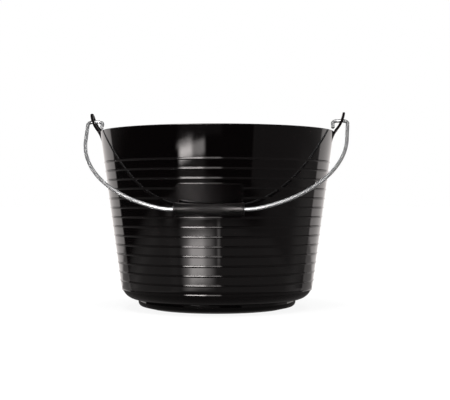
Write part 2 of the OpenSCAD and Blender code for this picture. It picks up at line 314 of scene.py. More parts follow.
def sweep_tree():
    """Sweep a round wire with rounded ends along a chain of points.

    The wire_space attribute gives each point the place it had while the wire was straight,
    with its length along Z, so that a pattern can follow the wire.
    """
    tree, add, given = new_tree("Wire sweep", {"Wire Diameter": "Float", "Tip Rounding": "Float",
                                               "Sides": "Int"})
    path = add("GeometryNodeMeshToCurve", {"Mesh": given["Geometry"]})
    run = add("GeometryNodeSplineParameter").outputs["Length"]
    values = {"one": 1.0, "half": 0.5, "run": run,
              "whole": add("GeometryNodeSplineLength"),
              "diameter": given["Wire Diameter"], "rounding": given["Tip Rounding"]}
    for result, first, operation, second in TIP_SUMS:
        values[result] = add("ShaderNodeMath", {0: values[first], 1: values[second]},
                             operation=operation)
    # The run along the wire and the place round it are kept for the finish
    marked_path = add("GeometryNodeStoreNamedAttribute",
                      {"Geometry": path, "Name": "run", "Value": run})
    circle = add("GeometryNodeCurvePrimitiveCircle",
                 {"Resolution": given["Sides"], "Radius": values["radius"]})
    spot = add("GeometryNodeInputPosition")
    marked_circle = add("GeometryNodeStoreNamedAttribute",
                        {"Geometry": circle, "Name": "round", "Value": spot},
                        data_type="FLOAT_VECTOR")
    swept = add("GeometryNodeCurveToMesh",
                {"Curve": marked_path, "Profile Curve": marked_circle,
                 "Scale": values["scale"], "Fill Caps": True})
    run_here = add("GeometryNodeInputNamedAttribute", {"Name": "run"})
    round_here = add("GeometryNodeInputNamedAttribute", {"Name": "round"},
                     data_type="FLOAT_VECTOR")
    flat = add("ShaderNodeSeparateXYZ", {0: round_here})
    straight = add("ShaderNodeCombineXYZ", {0: flat, 1: flat.outputs[1], 2: run_here})
    marked = add("GeometryNodeStoreNamedAttribute",
                 {"Geometry": swept, "Name": "wire_space", "Value": straight},
                 data_type="FLOAT_VECTOR")
    return end_tree(tree, marked, given["Material"])


# --- Meshes ----------------------------------------------------------------------------

# Points nearer than this are one point
WELD = 0.002 * MM


def new_object(name, data):
    """An object with that data, linked to the scene."""
    made = bpy.data.objects.new(name, data)
    bpy.context.scene.collection.objects.link(made)
    return made


def mesh_object(name, points, edges, faces):
    """An object with a mesh of these points, edges and faces."""
    mesh = bpy.data.meshes.new(name)
    mesh.from_pydata(points, edges, faces)
    return new_object(name, mesh)


def close_up(mesh):
    """Merge the points that coincide, and point every face outwards."""
    shell = bmesh.new()
    shell.from_mesh(mesh)
    bmesh.ops.remove_doubles(shell, verts=shell.verts, dist=WELD)
    bmesh.ops.recalc_face_normals(shell, faces=shell.faces)
    shell.to_mesh(mesh)
    shell.free()


def grown_piece(name, chain, tree, sizes, material):
    """A closed piece that a tree grows from a chain of points, kept as a plain mesh."""
    piece = mesh_object(name, chain, [(i, i + 1) for i in range(len(chain) - 1)], [])
    values = {**sizes, "Material": material}
    modifier = piece.modifiers.new(tree.name, "NODES")
    modifier.node_group = tree
    for item in tree.interface.items_tree:
        if item.in_out == "INPUT" and item.name in values:
            modifier[item.identifier] = values[item.name]
    depsgraph = bpy.context.evaluated_depsgraph_get()
    drawn = piece.data
    piece.data = bpy.data.meshes.new_from_object(piece.evaluated_get(depsgraph))
    piece.data.name = name
    piece.modifiers.clear()
    bpy.data.meshes.remove(drawn)
    close_up(piece.data)
    return piece


def turned_piece(name, section, segments, material):
    """A closed piece turned about Z from its half section of (radius, height)."""
    return grown_piece(name, [(p.x, 0.0, p.y) for p in section], lathe_tree(),
                       {"Segments": segments, "Weld Distance": WELD}, material)


def closed_piece(name, rows, material, wrap_rows):
    """A closed piece from rows of points that close round; the rows also close if wrapped."""
    across = len(rows[0])
    pairs = [(i, (i + 1) % len(rows)) for i in range(len(rows) - (0 if wrap_rows else 1))]
    faces = [(a * across + j, a * across + (j + 1) % across,
              b * across + (j + 1) % across, b * across + j)
             for a, b in pairs for j in range(across)]
    piece = mesh_object(name, [point for row in rows for point in row], [], faces)
    close_up(piece.data)
    piece.data.shade_smooth()
    piece.data.materials.append(material)
    return piece


# --- Shape -----------------------------------------------------------------------------

# Largest turn from one facet of a rounding to the next
ARC_STEP = radians(9)
# How far past a rounding the flat beside it has a point, which keeps its shading flat
EASE = 0.5 * MM


def spaced(start, end, steps):
    """Values from start to end, evenly spaced in that many steps."""
    return [start + (end - start) * i / steps for i in range(steps + 1)]


def arc(centre, radius, start, end):
    """Points along an arc in a plane, from one angle to another."""
    steps = max(2, ceil(abs(end - start) / ARC_STEP))
    return [centre + radius * Vector((cos(t), sin(t))) for t in spaced(start, end, steps)]


def mirrored(points):
    """The points mirrored left to right, in the opposite order."""
    return [Vector((-p.x, p.y)) for p in reversed(points)]


def rounded(corners):
    """A chain of points through corners (x, y, radius), each rounded by its radius."""
    points = []
    for i, (x, y, radius) in enumerate(corners):
        corner = Vector((x, y))
        if radius == 0:
            points.append(corner)
            continue
        back = (Vector(corners[i - 1][:2]) - corner).normalized()
        on = (Vector(corners[i + 1][:2]) - corner).normalized()
        half = back.angle(on) / 2
        centre = corner + (back + on).normalized() * radius / sin(half)
        reach = radius / tan(half)
        first, last = corner + back * reach - centre, corner + on * reach - centre
        start = atan2(first.y, first.x)
        turn = atan2(first.cross(last), first.dot(last))
        points.append(corner + back * (reach + EASE))
        points.extend(arc(centre, radius, start, start + turn))
        points.append(corner + on * (reach + EASE))
    return points


class BucketOutline:
    """Lines of the bucket that its pieces share, worked out from the shell's sizes."""

    def __init__(self, settings):
        shell = self.shell = settings.shell
        self.ears = settings.ears
        self.slope = tan(shell.draft)
        self.foot_line_r = shell.rim_d / 2 - shell.height * self.slope
        self.heel_z = shell.base_h + shell.heel_r
        self.heel_top_z = self.heel_z - shell.heel_r * sin(shell.draft)
        self.heel_x = self.wall_r(self.heel_top_z) - shell.heel_r * cos(shell.draft)
        self.heel_length = shell.heel_r * (QUARTER - shell.draft)
        self.set_ear_bends()

    def wall_r(self, z):
        """Radius of the wall's outside at height z."""
        return self.foot_line_r + z * self.slope

    def wall_in_r(self, z):
        """Radius of the wall's inside at height z."""
        return self.wall_r(z) - self.shell.wall / cos(self.shell.draft)

    def skin(self, along, out):
        """Point (radius, z) at a distance up the skin from the heel's lowest line."""
        turn = min(along, self.heel_length) / self.shell.heel_r - QUARTER
        rise = max(0.0, along - self.heel_length)
        reach = self.shell.heel_r + out
        return (self.heel_x + reach * cos(turn) + rise * sin(self.shell.draft),
                self.heel_z + reach * sin(turn) + rise * cos(self.shell.draft))

    def along_at(self, z):
        """Distance up the skin at height z."""
        if z > self.heel_top_z:
            return self.heel_length + (z - self.heel_top_z) / cos(self.shell.draft)
        return self.shell.heel_r * (asin((z - self.heel_z) / self.shell.heel_r) + QUARTER)

    def set_ear_bends(self):
        """Centres of the two bends of an ear's middle line, out from the wall and back."""
        ears, draft = self.ears, self.shell.draft
        root_z = self.shell.height - ears.root_drop
        start_r = self.wall_r(root_z) - ears.thickness / 2 * cos(draft)
        start_z = root_z + ears.thickness / 2 * sin(draft)
        self.ear_out = Vector((start_r + ears.bend_r * cos(draft),
                               start_z - ears.bend_r * sin(draft)))
        step = ears.bend_r * Vector((-cos(ears.lean), sin(ears.lean)))
        self.ear_turn = self.ear_out + step
        self.ear_back = self.ear_turn + step

    def ear_r(self, z, out):
        """Radius of an ear's section at height z, at a distance out from its middle."""
        turn_z = self.ear_turn.y - out * sin(self.ears.lean)
        if z > turn_z:
            reach = self.ears.bend_r + out
            return self.ear_back.x + sqrt(reach ** 2 - (z - self.ear_back.y) ** 2)
        reach = self.ears.bend_r - out
        return self.ear_out.x - sqrt(reach ** 2 - (z - self.ear_out.y) ** 2)


def ring_section(shell):
    """Half-round ring with fillets, as points (distance along the wall, distance out)."""
    sunk = shell.ring_r - shell.ring_proud
    reach = shell.ring_r + shell.ring_fillet
    rise = sunk + shell.ring_fillet
    foot = sqrt(reach ** 2 - rise ** 2)
    lift = atan2(rise, foot)
    side = arc(Vector((-foot, shell.ring_fillet)), shell.ring_fillet, -QUARTER, -lift)
    back = arc(Vector((0, -sunk)), shell.ring_r, pi - lift, lift)
    half = [Vector((-foot - EASE, 0))] + side
    return half + back[1:-1] + mirrored(half)


def wall_section(outline):
    """The outside from the heel's lowest line to the rim, with the rings on it."""
    shell = outline.shell
    ring = ring_section(shell)
    low, high = ring[0].x, ring[-1].x
    pitch = (shell.height - shell.ring_drop - shell.ring_low_z) / (shell.ring_count - 1)
    places = [outline.along_at(shell.ring_low_z + i * pitch) for i in range(shell.ring_count)]
    steps = ceil((QUARTER - shell.draft) / ARC_STEP)
    plain = spaced(0, outline.heel_length, steps)[1:] + [outline.heel_length + EASE]
    chain = [(place + p.x, p.y) for place in places for p in ring]
    chain += [(a, 0.0) for a in plain
              if not any(place + low < a < place + high for place in places)]
    return [Vector(outline.skin(along, out)) for along, out in sorted(chain)]


def shell_section(outline):
    """Half section of the whole shell, from the middle of the base out, up and back in."""
    shell = outline.shell
    base_r = outline.heel_x - shell.base_setback
    edge_x = base_r - shell.base_edge_r
    foot_r = edge_x - shell.base_rise_w
    foot_in_r = foot_r - shell.foot_w
    base_slope = shell.base_rise / shell.base_rise_w
    small = shell.foot_hollow / 4
    under = rounded([
        (0, shell.foot_hollow, 0),
        (foot_in_r - shell.foot_hollow, shell.foot_hollow, small),
        (foot_in_r, 0, small),
        (foot_r, 0, small),
        (base_r, (base_r - foot_r) * base_slope, shell.base_edge_r),
        (base_r, shell.base_h, small),
        (outline.heel_x, shell.base_h, 0),
    ])
    wall = wall_section(outline)
    inside_z = shell.base_h + shell.wall
    inside_edge_r = base_r - shell.wall
    floor_z = shell.base_rise + shell.wall
    inside = rounded([
        (wall[-1].x, wall[-1].y, 0),
        (outline.wall_r(shell.height), shell.height, shell.rim_round),
        (outline.wall_in_r(shell.height), shell.height, shell.rim_round),
        (outline.wall_in_r(inside_z), inside_z, shell.heel_r - shell.wall),
        (inside_edge_r, inside_z, small),
        (inside_edge_r, floor_z, shell.base_edge_r - shell.wall),
        (0, floor_z, 0),
    ])
    return under + wall + inside[1:]


def make_shell(settings, material):
    """The moulded shell: its section is turned about Z, rings, rim and base in one."""
    outline = BucketOutline(settings)
    return [turned_piece("bucket_shell", shell_section(outline), settings.shell.segments,
                         material)]


# Steps of the plate's long sides, short sides and corners, and of its field to the middle
PLATE_STEPS = {"long": 36, "short": 14, "corner": 8, "field": 10}


def rounded_rectangle(half_w, half_h, radius):
    """Points round a rectangle with rounded corners, always as many for any size."""
    points = []
    for k in range(4):
        turn = k * QUARTER
        across, up = (half_w, half_h) if k % 2 == 0 else (half_h, half_w)
        side = PLATE_STEPS["short" if k % 2 == 0 else "long"]
        spots = [(across, y) for y in spaced(radius - up, up - radius, side)[:-1]]
        spots += [(across - radius + radius * cos(t), up - radius + radius * sin(t))
                  for t in spaced(0, QUARTER, PLATE_STEPS["corner"])[:-1]]
        points += [(x * cos(turn) - y * sin(turn),
                    x * sin(turn) + y * cos(turn)) for x, y in spots]
    return points


def plate_stations(plate):
    """Steps of the plate's section from its rooted edge in, as (inset, height proud)."""
    top, field, small = plate.border_proud, plate.proud, plate.edge_round
    outer = arc(Vector((small, top - small)), small, pi, QUARTER)
    inner = arc(Vector((plate.border_w - small, top - small)), small, QUARTER, 0)
    drop = top - field
    foot = arc(Vector((plate.border_w + drop / 2, field + drop / 2)), drop / 2, pi, pi + QUARTER)
    edge = [Vector((0, -plate.sunk)), Vector((0, 0))]
    return edge + outer + inner + foot + [foot[-1] + Vector((EASE, 0))]


def make_plate(settings, material):
    """The bare label plate, wrapped on the front of the wall, with its raised border."""
    plate = settings.plate
    outline = BucketOutline(settings)
    middle_z = settings.shell.height - plate.drop - plate.height / 2

    def wrapped(points, proud):
        row = []
        for x, up in points:
            reach = outline.wall_r(middle_z + up) + proud / cos(settings.shell.draft)
            row.append((x, -sqrt(reach ** 2 - x ** 2), middle_z + up))
        return row

    def shrunk(points, share):
        return [(x * share, y * share) for x, y in points]

    stations = plate_stations(plate)
    rims = []
    for inset, proud in stations:
        radius = max(plate.corner_r - inset, plate.edge_round)
        rims.append(rounded_rectangle(plate.width / 2 - inset, plate.height / 2 - inset, radius))
    rows = [wrapped(rim, proud) for rim, (inset, proud) in zip(rims, stations)]
    shares = spaced(0, 1, PLATE_STEPS["field"])[:-1]
    field = [wrapped(shrunk(rims[-1], share), plate.proud) for share in reversed(shares)]
    back = [wrapped(shrunk(rims[0], share), -plate.sunk) for share in shares]
    return [closed_piece("label_plate", back + rows + field, material, wrap_rows=False)]


# Steps of an ear's round top, its sides and its root, and from its hole to its edge
EAR_STEPS = {"top": 40, "side": 30, "root": 24, "face": 26}
# How far below its root an ear runs on inside the wall, and how deep its face lies there
EAR_BURIED = 6 * MM
EAR_SUNK = 0.06 * MM


def ear_outline(ears, low):
    """Face outline of an ear about its hole, as (point, outward direction)."""
    lean_y, lean_z = cos(ears.flare), sin(ears.flare)
    side_y, side_z = ears.top_r * lean_y, ears.top_r * lean_z
    low_y = side_y + (side_z - low) * tan(ears.flare)
    turns = spaced(ears.flare, pi - ears.flare, EAR_STEPS["top"])[:-1]
    top_ways = [Vector((cos(turn), sin(turn))) for turn in turns]
    found = [(way * ears.top_r, way) for way in top_ways]
    # From the top down one side, along the root, and up the other side
    corners = [Vector(p) for p in ((-side_y, side_z), (-low_y, low), (low_y, low),
                                   (side_y, side_z))]
    ways = [Vector(way) for way in ((-lean_y, lean_z), (0, -1), (lean_y, lean_z))]
    for start, end, way, stretch in zip(corners, corners[1:], ways, ("side", "root", "side")):
        shares = spaced(0, 1, EAR_STEPS[stretch])[:-1]
        found += [(start.lerp(end, share), way) for share in shares]
    return found


def ear_rows(outline, side):
    """Rows of points of one ear: each goes once round its section, from hole to edge."""
    ears, shell = outline.ears, outline.shell
    half, edge, lip = ears.thickness / 2, ears.edge_round, ears.hole_round
    hole_z = EAR_TOP_Z - ears.top_r
    root_z = shell.height - ears.root_drop
    low = root_z - EAR_BURIED - hole_z

    # The section's round trip, as (share of the way to the edge, step in from there, out)
    lip_arc = arc(Vector((lip, half - lip)), lip, pi, QUARTER)
    edge_arc = arc(Vector((edge, half - edge)), edge, QUARTER, pi)
    trip = [(0, p.x, p.y) for p in lip_arc[:-1]]
    trip += [(share, None, half) for share in spaced(0, 1, EAR_STEPS["face"])]
    trip += [(1, p.x, p.y) for p in edge_arc[1:]]
    trip += [(share, step, -out) for share, step, out in reversed(trip)]

    rows = []
    for spot, way in ear_outline(ears, low):
        ray = spot.normalized()
        near = ray * (ears.hole_r + lip)
        far = spot - way * edge
        row = []
        for share, step, out in trip:
            if step is None:
                flat = near.lerp(far, share)
            elif share == 0:
                flat = ray * (ears.hole_r + step)
            else:
                flat = spot - way * step
            row.append(ear_point(outline, side, hole_z + flat.y, flat.x, out))
        rows.append(row)
    return rows


def ear_point(outline, side, z, across, out):
    """A point of an ear's skin: on its bends above its root, and inside the wall below."""
    shell, ears = outline.shell, outline.ears
    half = ears.thickness / 2
    root_z = shell.height - ears.root_drop
    if z > root_z + half * sin(shell.draft):
        reach = outline.ear_r(z, out)
    else:
        reach = outline.wall_r(z) + (out - half) / cos(shell.draft)
    # Below the rim its back stays inside the wall
    if z < shell.height:
        reach = max(reach, outline.wall_in_r(z) + shell.wall / 4)
    reach -= EAR_SUNK
    return (side * sqrt(reach ** 2 - across ** 2), across, z)


def make_ears(settings, material):
    """The two ears, one on each side, rooted in the wall."""
    outline = BucketOutline(settings)
    return [closed_piece("ear_" + name, ear_rows(outline, side), material, wrap_rows=True)
            for name, side in (("left", -1), ("right", 1))]


def bend(centre, radius, start, end, steps):
    """Points along a bend of the bail, whose heading turns from one angle to another."""
    return [centre + radius * Vector((sin(t), -cos(t))) for t in spaced(start, end, steps)]


# Steps along the wire's shoulder, its bow, each bend of a hook and a tip's rounding
BAIL_STEPS = {"shoulder": 14, "bow": 72, "hook": 22, "tip": 5}


def bail_side(bail, grip):
    """The right side of the bail drawn flat, from beside the grip to the hook's tip."""
    leg_turn = QUARTER - bail.leg_lean
    # The leg stands where the wire's outermost line meets the side of the frame's box
    hook_top = BAIL_HALF_WIDTH - bail.wire_d / 2 - bail.hook_r
    hook_out = Vector((hook_top, -bail.hook_r))
    leg = hook_out + bail.hook_r * Vector((sin(leg_turn), -cos(leg_turn)))
    hook_in = Vector((leg.x - bail.hook_w + bail.hook_r, -bail.hook_r))
    beside = Vector((GRIP_HALF + grip.end_gap, bail.shoulder_r - BAIL_REACH))
    shoulder = bend(beside, bail.shoulder_r, 0, bail.shoulder_turn, BAIL_STEPS["shoulder"])
    # The bow's radius brings its far end onto the leaning line of the leg
    start, lean = shoulder[-1], tan(bail.leg_lean)
    bow_r = (leg.x - start.x + (start.y - leg.y) * lean) / (
        sin(leg_turn) - sin(bail.shoulder_turn)
        - (cos(bail.shoulder_turn) - cos(leg_turn)) * lean)
    turned = Vector((sin(bail.shoulder_turn), -cos(bail.shoulder_turn)))
    bow = bend(start - bow_r * turned, bow_r, bail.shoulder_turn, leg_turn, BAIL_STEPS["bow"])
    outer = bend(hook_out, bail.hook_r, leg_turn, pi, BAIL_STEPS["hook"])
    inner = bend(hook_in, bail.hook_r, pi, pi + QUARTER, BAIL_STEPS["hook"])
    end = hook_in + Vector((-bail.hook_r, -bail.hook_tip))
    tip = [end + Vector((0, bail.tip_round * (1 - sin(t))))
           for t in spaced(0, QUARTER, BAIL_STEPS["tip"])]
    return shoulder + bow[1:] + outer + inner[1:] + tip


def make_bail(settings, material):
    """The bail: one length of wire, swept along its bends from tip to tip."""
    side = bail_side(settings.bail, settings.grip)
    # From flat in the XY plane to hanging at rest from the pivot line
    hung = Matrix.Translation(PIVOT) @ Matrix.Rotation(BAIL_TILT, 4, "X")
    sizes = {"Wire Diameter": settings.bail.wire_d, "Tip Rounding": settings.bail.tip_round,
             "Sides": settings.bail.sides}
    return [grown_piece("bail_wire", [hung @ p.to_3d() for p in mirrored(side) + side],
                        sweep_tree(), sizes, material)]


# Steps along the hollow of the grip's side
GRIP_STEPS = 32


def grip_section(settings):
    """Half section of the grip, from one end of its bore out, along its side and back."""
    grip = settings.grip
    bore_r = settings.bail.wire_d / 2 + grip.bore_gap
    waist_r, end_r, collar_r = grip.waist_d / 2, grip.end_d / 2, grip.collar_d / 2
    hollow_half = GRIP_HALF - grip.collar_w
    depth = end_r - waist_r
    hollow_r = (hollow_half ** 2 + depth ** 2) / (2 * depth)
    small = grip.edge_round
    end = rounded([
        (bore_r, 0, 0),
        (bore_r, -GRIP_HALF, small / 2),
        (collar_r, -GRIP_HALF, small),
        (collar_r, -hollow_half, small),
        (end_r, -hollow_half, small / 4),
        (end_r - depth / GRIP_STEPS, -hollow_half + GRIP_HALF / GRIP_STEPS, 0),
    ])[1:-1]
    # The hollow's arc stops just short of the fillets beside the collars
    spread = asin((hollow_half - 3 * EASE) / hollow_r)
    side = [Vector((waist_r + hollow_r * (1 - cos(t)), hollow_r * sin(t)))
            for t in spaced(-spread, spread, GRIP_STEPS)]
    other = [Vector((p.x, -p.y)) for p in reversed(end)]
    return end + side + other + end[:1]


def make_grip(settings, material):
    """The grip: a waisted tube with a collar at each end, turned about the wire."""
    piece = turned_piece("grip_tube", grip_section(settings), settings.grip.segments, material)
    piece.data.transform(Matrix.Translation(GRIP_PLACE) @ Matrix.Rotation(QUARTER, 4, "Y"))
    return [piece]


# --- Finishes --------------------------------------------------------------------------

# The values of a noise texture lie mostly between 0.3 and 0.7, which the ranges below use

# How much rougher the rim's worn edge is
EDGE_WEAR = 0.4
# Half the length that hands have dulled on the grip, and where they no longer touch it
WORN_HALF = 12 * MM
FRESH_HALF = 34 * MM


def empty_nodes(owner):
    """Empty the node tree of a material or a world, and return what adds nodes to it."""
    owner.use_nodes = True
    owner.node_tree.nodes.clear()
    return partial(add_node, owner.node_tree)


def new_material(name):
    """A material without nodes, and what adds nodes to it."""
    material = bpy.data.materials.new(name)
    return material, empty_nodes(material)


def polypropylene(name, settings, glossiest, dullest):
    """Black polypropylene with a roughness between the two, by how scuffed it is.

    Pigment right through, so no colour shows but a deep black; a clear gloss (IOR 1.49)
    that is a little wavy where the wall shrank, and fine handling scuffs. The rim's edge
    has lost its polish, because the bucket is stacked and set down on it.
    """
    material, add = new_material(name)
    coords = add("ShaderNodeTexCoord").outputs["Object"]
    # Shrinkage waves are some 45 mm apart, and scuffs some 6 mm
    waves = add("ShaderNodeTexNoise", {"Vector": coords, "Scale": 1 / (45 * MM), "Detail": 1.0})
    scuffs = add("ShaderNodeTexNoise",
                 {"Vector": coords, "Scale": 1 / (6 * MM), "Detail": 6.0, "Roughness": 0.65})
    gloss = add("ShaderNodeMapRange",
                {"Value": scuffs, "From Min": 0.35, "From Max": 0.75,
                 "To Min": glossiest, "To Max": dullest})
    up = add("ShaderNodeSeparateXYZ", {0: coords}).outputs["Z"]
    # 1 within the rounding of the rim
    shell = settings.shell
    at_rim = add("ShaderNodeMath", {0: up, 1: shell.height, 2: shell.rim_round},
                 operation="COMPARE")
    rough = add("ShaderNodeMath", {0: at_rim, 1: EDGE_WEAR, 2: gloss}, operation="MULTIPLY_ADD")
    wavy = add("ShaderNodeBump", {"Height": waves, "Strength": 1.0, "Distance": 0.06 * MM})
    fine = add("ShaderNodeBump",
               {"Height": scuffs, "Strength": 0.5, "Distance": 0.01 * MM, "Normal": wavy})
    shader = add("ShaderNodeBsdfPrincipled",
                 {"Base Color": (*settings.finish.shell, 1.0), "Roughness": rough,
                  "IOR": 1.49, "Normal": fine})
    add("ShaderNodeOutputMaterial", {0: shader})
    return material


def moulded_black_polypropylene(name, settings):
    """The shell and the ears: injection moulded in a polished tool, so mirror-like."""
    return polypropylene(name, settings, glossiest=0.025, dullest=0.05)


def satin_black_polypropylene(name, settings):
    """The label plate: the same moulding, where the tool has a finely blasted insert."""
    return polypropylene(name, settings, glossiest=0.11, dullest=0.15)


def galvanised_drawn_steel_wire(name, settings):
    """Drawn steel wire, hot galvanised and wiped.

    A soft grey metal: die lines run along the wire, and the zinc has bright and dull
    patches a few millimetres long.
    """
    material, add = new_material(name)
    straight = add("ShaderNodeAttribute", attribute_name="wire_space").outputs["Vector"]
    # Die lines are 0.4 mm apart round the wire and run for some 40 mm. Patches are some
    # 3 mm wide and 7 mm long.
    patterns = []
    for across, along, detail in ((0.4 * MM, 40 * MM, 3.0), (3 * MM, 7 * MM, 4.0)):
        placed = add("ShaderNodeMapping",
                     {"Vector": straight, "Scale": (1 / across, 1 / across, 1 / along)})
        patterns.append(add("ShaderNodeTexNoise",
                            {"Vector": placed, "Scale": 1.0, "Detail": detail}))
    lines, patches = patterns
    share = add("ShaderNodeMapRange", {"Value": patches, "From Min": 0.35, "From Max": 0.65})
    bright, dull = (*settings.finish.zinc, 1.0), (*settings.finish.zinc_dull, 1.0)
    tint = add("ShaderNodeMix", {0: share, 6: bright, 7: dull}, data_type="RGBA")
    rough = add("ShaderNodeMapRange",
                {"Value": patches, "From Min": 0.3, "From Max": 0.7,
                 "To Min": 0.48, "To Max": 0.56})
    grain = add("ShaderNodeBump", {"Height": lines, "Strength": 0.3, "Distance": 0.01 * MM})
    shader = add("ShaderNodeBsdfPrincipled",
                 {"Base Color": tint.outputs[2], "Metallic": 0.75,
                  "Roughness": rough, "Normal": grain})
    add("ShaderNodeOutputMaterial", {0: shader})
    return material


def moulded_charcoal_polyethylene(name, settings):
    """Charcoal polyethylene, moulded in a spark-eroded tool.

    A fine even grain that keeps its gloss low and spreads highlights along the waist.
    """
    material, add = new_material(name)
    coords = add("ShaderNodeTexCoord").outputs["Object"]
    # Spark grain is about 0.1 mm; it is drawn at 0.5 mm, the finest that shows
    grain = add("ShaderNodeTexNoise", {"Vector": coords, "Scale": 1 / (0.5 * MM), "Detail": 2.0})
    # Marks of handling are some 9 mm apart
    handling = add("ShaderNodeTexNoise", {"Vector": coords, "Scale": 1 / (9 * MM), "Detail": 4.0})
    across = add("ShaderNodeSeparateXYZ", {0: coords})
    from_middle = add("ShaderNodeMath", {0: across}, operation="ABSOLUTE")
    worn = add("ShaderNodeMapRange",
               {"Value": from_middle, "From Min": WORN_HALF, "From Max": FRESH_HALF,
                "To Min": 0.72, "To Max": 0.33})
    uneven = add("ShaderNodeMapRange",
                 {"Value": handling, "From Min": 0.3, "From Max": 0.7,
                  "To Min": -0.03, "To Max": 0.03})
    rough = add("ShaderNodeMath", {0: worn, 1: uneven}, operation="ADD")
    bump = add("ShaderNodeBump", {"Height": grain, "Strength": 0.6, "Distance": 0.03 * MM})
    # The grain's pits hide most of the gloss, so its specular level is low
    shader = add("ShaderNodeBsdfPrincipled",
                 {"Base Color": (*settings.finish.grip, 1.0), "Roughness": rough,
                  "Specular IOR Level": 0.18, "IOR": 1.51, "Normal": bump})
    add("ShaderNodeOutputMaterial", {0: shader})
    return material


# --- Studio ----------------------------------------------------------------------------

# How wide the floor is, and how much of its white is glow
FLOOR_WIDTH = 120.0
FLOOR_GLOW_SHARE = 0.75
# The floor's glow near the bucket and far from it, as (distance, strength)
GLOW_NEAR = (0.3, 1.22)
GLOW_FAR = (1.6, 1.34)


def seen_white(add):
    """1 for rays from the camera, a reflection or a clear part, which see white."""
    path = add("ShaderNodeLightPath").outputs
    seen = path["Is Camera Ray"]
    for ray in ("Is Glossy Ray", "Is Transmission Ray"):
        seen = add("ShaderNodeMath", {0: seen, 1: path[ray]}, operation="MAXIMUM")
    return seen


def make_world(studio):
    """An even white world: full white where it is seen, and soft ambient light elsewhere."""
    world = bpy.data.worlds.new("studio_world")
    add = empty_nodes(world)
    white = (*linear(STUDIO_WHITE), 1.0)
    soft = add("ShaderNodeBackground", {0: white, 1: studio.ambient})
    full = add("ShaderNodeBackground", {0: white, 1: 1.0})
    mixed = add("ShaderNodeMixShader", {0: seen_white(add), 1: soft, 2: full})
    add("ShaderNodeOutputWorld", {0: mixed})
    bpy.context.scene.world = world


def stage_object(name, points, faces, material):
    """A mesh that belongs to the studio and not to the bucket."""
    piece = mesh_object(name, points, [], faces)
    piece.data.materials.append(material)
    return piece


def make_floor():
    """A plain pale floor that stays near white and takes the bucket's soft shadow."""
    material, add = new_material("pale_floor")
    plain = add("ShaderNodeBsdfDiffuse", {"Color": (*linear(FLOOR_GREY), 1.0)})
    coords = add("ShaderNodeTexCoord").outputs["Object"]
    reach = add("ShaderNodeVectorMath", {0: coords}, operation="LENGTH")
    # Less glow near the bucket, where the lamps light the floor too and its shadow shows
    strength = add("ShaderNodeMapRange",
                   {"Value": reach.outputs["Value"],
                    "From Min": GLOW_NEAR[0], "From Max": GLOW_FAR[0],
                    "To Min": GLOW_NEAR[1], "To Max": GLOW_FAR[1]})
    glow = add("ShaderNodeEmission", {"Strength": strength})
    share = add("ShaderNodeMath", {0: seen_white(add), 1: FLOOR_GLOW_SHARE}, operation="MULTIPLY")
    mixed = add("ShaderNodeMixShader", {0: share, 1: plain, 2: glow})
    add("ShaderNodeOutputMaterial", {0: mixed})
    half = FLOOR_WIDTH / 2
    corners = [(-half, -half, 0), (half, -half, 0), (half, half, 0), (-half, half, 0)]
    stage_object("floor", corners, [(0, 1, 2, 3)], material).visible_glossy = False


# The point that every lamp shines at
LAMP_AIM = Vector((0, 0, 0.12))

# Parts of the surround as (name, azimuths in degrees, heights in m, soft edge in degrees,
# soft edge in m, brightness). Heights run below the floor, because the draft tips the
# wall's reflections down. Where parts overlap, their brightness adds up.
SURROUND_PARTS = (
    ("room", (-180, 180), (-9, 9), 1, 0.1, 0.02),
    ("left backdrop", (-180, -120), (-0.27, 0.6), 3, 0.05, 0.82),
    ("right backdrop", (124, 180), (-0.26, 0.6), 3, 0.05, 0.65),
    ("lower left backdrop", (-180, -120), (-1.05, 0.6), 3, 0.2, 0.30),
    ("lower right backdrop", (124, 180), (-1.05, 0.6), 3, 0.2, 0.40),
    ("ground", (-180, 180), (-9, -0.95), 4, 0.2, 0.12),
    ("upper room", (-120, 124), (0.1, 9), 4, 0.3, 0.14),
    ("lower left wall", (-120, -42), (-1.1, -0.48), 16, 0.15, 0.24),
    ("lower room", (-46, 124), (-1.0, -0.56), 16, 0.1, 0.20),
    ("right wall", (38, 124), (-0.40, 0.3), 2, 0.1, 0.12),
    ("far right wall", (96, 124), (-1.0, -0.1), 20, 0.2, 0.12),
    ("left room", (-125, -62), (-0.52, -0.39), 12, 0.08, 0.16),
    ("right room", (50, 112), (-0.58, -0.39), 24, 0.1, 0.13),
    ("dim window", (-30, 8), (-0.25, -0.16), 4, 0.02, 0.06),
    ("upper patch", (-33, -8), (-0.316, -0.262), 4, 0.02, 3.8),
    ("upper patch crown", (-34, -20), (-0.262, -0.238), 6, 0.02, 3.6),
    ("upper patch glare", (-32, -20), (-0.312, -0.264), 5, 0.04, 8.0),
    ("between patches", (-34, -8), (-0.56, -0.33), 8, 0.03, 0.2),
    ("plate window", (-50, 0), (-0.50, -0.41), 8, 0.04, 0.22),
    ("lower patch", (-32, -2), (-0.81, -0.605), 14, 0.08, 2.8),
    ("lower patch top", (-34, -12), (-0.6, -0.54), 12, 0.02, 0.6),
    ("lower patch glare", (-26, -10), (-0.78, -0.62), 8, 0.08, 3.6),
    ("thin window", (4, 7), (-0.74, -0.58), 1, 0.04, 1.2),
    ("tall light", (-32, -10), (0.1, 1.3), 7, 0.1, 45.0),
    ("tall light side", (-14, 8), (0.1, 1.3), 4, 0.1, 11.0),
)
# The surround's reach, and its levels as (lowest, highest, steps), finest at the patches
SURROUND_REACH = 2.5
SURROUND_LEVELS = ((-1.5, -0.9, 12), (-0.9, 0.1, 140), (0.1, 4.5, 60))
# The dark patch of floor that the base and the heel mirror: radius, height, brightness
FLOOR_SHADE_R = 0.19
FLOOR_SHADE_Z = -0.0005
FLOOR_SHADE = 0.09
